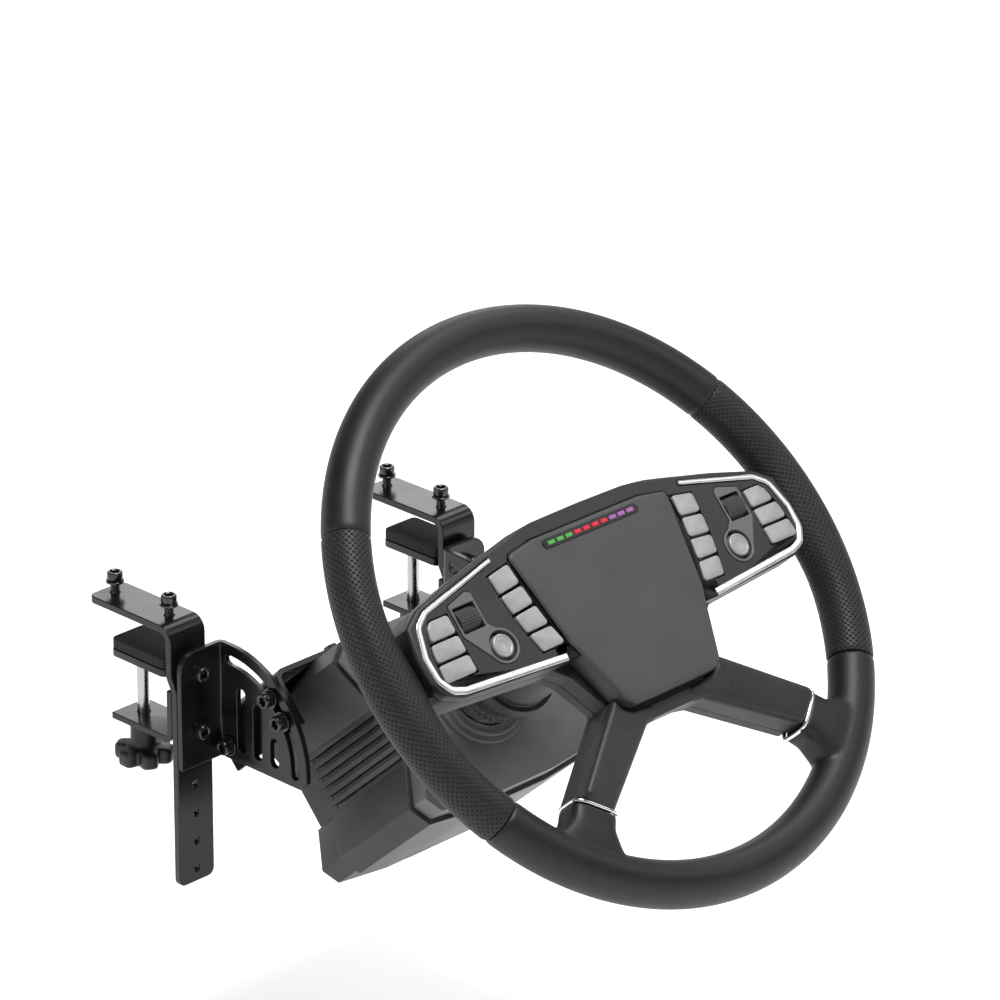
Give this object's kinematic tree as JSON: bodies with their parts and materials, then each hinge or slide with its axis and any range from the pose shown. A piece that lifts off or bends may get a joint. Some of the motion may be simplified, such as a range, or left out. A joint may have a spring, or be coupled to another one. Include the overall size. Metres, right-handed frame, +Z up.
{
  "type": "racing wheel",
  "caption": "Round racing wheel with a button crossbar, on a finned motor base that tilts between two slotted brackets clamped to a desk edge.",
  "frame": {"origin": "on the plane of the desk top, at the desk's front edge, midway between the two clamps", "axes": "+X to the driver's right, +Y away from the driver into the desk, +Z up"},
  "size_m": [0.399, 0.4607, 0.3866],
  "materials": {
    "black_steel": "gloss black coat",
    "screw_steel": "dark zinc plate",
    "bright_steel": "ground",
    "rubber": "matte",
    "dark_aluminium": "dark anodised",
    "grey_aluminium": "grey anodised",
    "cast_aluminium": "as cast",
    "iron_core": "laminated core with copper windings",
    "board": "satin",
    "leather": "fine grain",
    "panel": "fine-grained satin",
    "black_plastic": "satin",
    "button": "silver satin",
    "chrome": "satin chrome",
    "lens": "smoked"
  },
  "bodies": {
    "clamps": {"hook_bar_left": "black_steel", "jaw_bracket_left": "black_steel", "sector_bracket_left": "black_steel", "top_screw_left_front": "screw_steel", "top_screw_left_rear": "screw_steel", "hook_bar_right": "black_steel", "jaw_bracket_right": "black_steel", "sector_bracket_right": "black_steel", "top_screw_right_front": "screw_steel", "top_screw_right_rear": "screw_steel"},
    "base": {"cradle": "black_steel", "pivot_screw_left": "screw_steel", "pivot_screw_right": "screw_steel", "base_housing": "dark_aluminium", "base_front_cover": "grey_aluminium", "base_rear_cover": "dark_aluminium", "motor_stator": "iron_core", "driver_board": "board"},
    "wheel": {"motor_rotor": "bright_steel", "wheel_adapter": "grey_aluminium", "wheel_frame": "cast_aluminium", "wheel_back_cover": "black_plastic", "rim_top": "leather", "rim_bottom": "leather", "rim_grip_left": "leather", "rim_grip_right": "leather", "centre_pad": "panel", "rev_light_bar": "lens", "crossbar_shell": "panel", "lower_spoke_cover": "panel", "trim_left": "chrome", "trim_right": "chrome", "control_bezel_left": "grey_aluminium", "control_bezel_right": "grey_aluminium"},
    "lock_ring": {"lock_ring": "dark_aluminium"},
    "jaw_left": {"clamp_jaw_left": "black_steel", "jaw_pad_left": "rubber"},
    "spindle_left": {"clamp_spindle_left": "screw_steel"},
    "jaw_right": {"clamp_jaw_right": "black_steel", "jaw_pad_right": "rubber"},
    "spindle_right": {"clamp_spindle_right": "screw_steel"},
    "button_inner_left_1": {"button_inner_left_1": "button"},
    "button_inner_left_2": {"button_inner_left_2": "button"},
    "button_inner_left_3": {"button_inner_left_3": "button"},
    "button_inner_left_4": {"button_inner_left_4": "button"},
    "button_outer_left_1": {"button_outer_left_1": "button"},
    "button_outer_left_2": {"button_outer_left_2": "button"},
    "button_outer_left_3": {"button_outer_left_3": "button"},
    "roller_left": {"roller_left": "rubber"},
    "dial_left": {"dial_left": "button"},
    "button_inner_right_1": {"button_inner_right_1": "button"},
    "button_inner_right_2": {"button_inner_right_2": "button"},
    "button_inner_right_3": {"button_inner_right_3": "button"},
    "button_inner_right_4": {"button_inner_right_4": "button"},
    "button_outer_right_1": {"button_outer_right_1": "button"},
    "button_outer_right_2": {"button_outer_right_2": "button"},
    "button_outer_right_3": {"button_outer_right_3": "button"},
    "roller_right": {"roller_right": "rubber"},
    "dial_right": {"dial_right": "button"}
  },
  "joints": [
    {"name": "jaw_left_slide", "type": "slide", "parent": "clamps", "child": "jaw_left", "axis": [0, 0, 1], "range_m": [-0.038, 0]},
    {"name": "spindle_left_turn", "type": "hinge", "parent": "jaw_left", "child": "spindle_left", "pos_m": [-0.1221, 0.038, -0.0256], "axis": [0, 0, 1], "range_deg": [-10950, 0]},
    {"name": "jaw_right_slide", "type": "slide", "parent": "clamps", "child": "jaw_right", "axis": [0, 0, 1], "range_m": [-0.038, 0]},
    {"name": "spindle_right_turn", "type": "hinge", "parent": "jaw_right", "child": "spindle_right", "pos_m": [0.1221, 0.038, -0.0256], "axis": [0, 0, 1], "range_deg": [-10950, 0]},
    {"name": "cradle_tilt", "type": "hinge", "parent": "clamps", "child": "base", "pos_m": [0, -0.022, -0.081], "axis": [1, 0, 0], "range_deg": [-32, 34]},
    {"name": "wheel_turn", "type": "hinge", "parent": "base", "child": "wheel", "pos_m": [0, -0.24975, 0.05936], "axis": [0, -0.7408, 0.6717], "continuous": true},
    {"name": "lock_ring_slide", "type": "slide", "parent": "wheel", "child": "lock_ring", "axis": [0, -0.7408, 0.6717], "range_m": [0, 0.0035], "stiffness_N_per_m": 1500, "springref_m": -0.004},
    {"name": "button_inner_left_1_press", "type": "slide", "parent": "wheel", "child": "button_inner_left_1", "axis": [0, 0.7408, -0.6717], "range_m": [0, 0.0012], "stiffness_N_per_m": 2000, "springref_m": -0.0003},
    {"name": "button_inner_left_2_press", "type": "slide", "parent": "wheel", "child": "button_inner_left_2", "axis": [0, 0.7408, -0.6717], "range_m": [0, 0.0012], "stiffness_N_per_m": 2000, "springref_m": -0.0003},
    {"name": "button_inner_left_3_press", "type": "slide", "parent": "wheel", "child": "button_inner_left_3", "axis": [0, 0.7408, -0.6717], "range_m": [0, 0.0012], "stiffness_N_per_m": 2000, "springref_m": -0.0003},
    {"name": "button_inner_left_4_press", "type": "slide", "parent": "wheel", "child": "button_inner_left_4", "axis": [0, 0.7408, -0.6717], "range_m": [0, 0.0012], "stiffness_N_per_m": 2000, "springref_m": -0.0003},
    {"name": "button_outer_left_1_press", "type": "slide", "parent": "wheel", "child": "button_outer_left_1", "axis": [0, 0.7408, -0.6717], "range_m": [0, 0.0012], "stiffness_N_per_m": 2000, "springref_m": -0.0003},
    {"name": "button_outer_left_2_press", "type": "slide", "parent": "wheel", "child": "button_outer_left_2", "axis": [0, 0.7408, -0.6717], "range_m": [0, 0.0012], "stiffness_N_per_m": 2000, "springref_m": -0.0003},
    {"name": "button_outer_left_3_press", "type": "slide", "parent": "wheel", "child": "button_outer_left_3", "axis": [0, 0.7408, -0.6717], "range_m": [0, 0.0012], "stiffness_N_per_m": 2000, "springref_m": -0.0003},
    {"name": "roller_left_turn", "type": "hinge", "parent": "wheel", "child": "roller_left", "pos_m": [-0.1185, -0.24412, 0.08194], "axis": [1, 0, 0], "continuous": true},
    {"name": "dial_left_turn", "type": "hinge", "parent": "wheel", "child": "dial_left", "pos_m": [-0.1055, -0.25791, 0.06272], "axis": [0, -0.7408, 0.6717], "continuous": true},
    {"name": "button_inner_right_1_press", "type": "slide", "parent": "wheel", "child": "button_inner_right_1", "axis": [0, 0.7408, -0.6717], "range_m": [0, 0.0012], "stiffness_N_per_m": 2000, "springref_m": -0.0003},
    {"name": "button_inner_right_2_press", "type": "slide", "parent": "wheel", "child": "button_inner_right_2", "axis": [0, 0.7408, -0.6717], "range_m": [0, 0.0012], "stiffness_N_per_m": 2000, "springref_m": -0.0003},
    {"name": "button_inner_right_3_press", "type": "slide", "parent": "wheel", "child": "button_inner_right_3", "axis": [0, 0.7408, -0.6717], "range_m": [0, 0.0012], "stiffness_N_per_m": 2000, "springref_m": -0.0003},
    {"name": "button_inner_right_4_press", "type": "slide", "parent": "wheel", "child": "button_inner_right_4", "axis": [0, 0.7408, -0.6717], "range_m": [0, 0.0012], "stiffness_N_per_m": 2000, "springref_m": -0.0003},
    {"name": "button_outer_right_1_press", "type": "slide", "parent": "wheel", "child": "button_outer_right_1", "axis": [0, 0.7408, -0.6717], "range_m": [0, 0.0012], "stiffness_N_per_m": 2000, "springref_m": -0.0003},
    {"name": "button_outer_right_2_press", "type": "slide", "parent": "wheel", "child": "button_outer_right_2", "axis": [0, 0.7408, -0.6717], "range_m": [0, 0.0012], "stiffness_N_per_m": 2000, "springref_m": -0.0003},
    {"name": "button_outer_right_3_press", "type": "slide", "parent": "wheel", "child": "button_outer_right_3", "axis": [0, 0.7408, -0.6717], "range_m": [0, 0.0012], "stiffness_N_per_m": 2000, "springref_m": -0.0003},
    {"name": "roller_right_turn", "type": "hinge", "parent": "wheel", "child": "roller_right", "pos_m": [0.1185, -0.24412, 0.08194], "axis": [1, 0, 0], "continuous": true},
    {"name": "dial_right_turn", "type": "hinge", "parent": "wheel", "child": "dial_right", "pos_m": [0.1055, -0.25791, 0.06272], "axis": [0, -0.7408, 0.6717], "continuous": true}
  ],
  "couplings": [
    {"joint": "spindle_left_turn", "follows": "jaw_left_slide", "rad_per_m": 5026.5},
    {"joint": "spindle_right_turn", "follows": "jaw_right_slide", "rad_per_m": 5026.5}
  ]
}
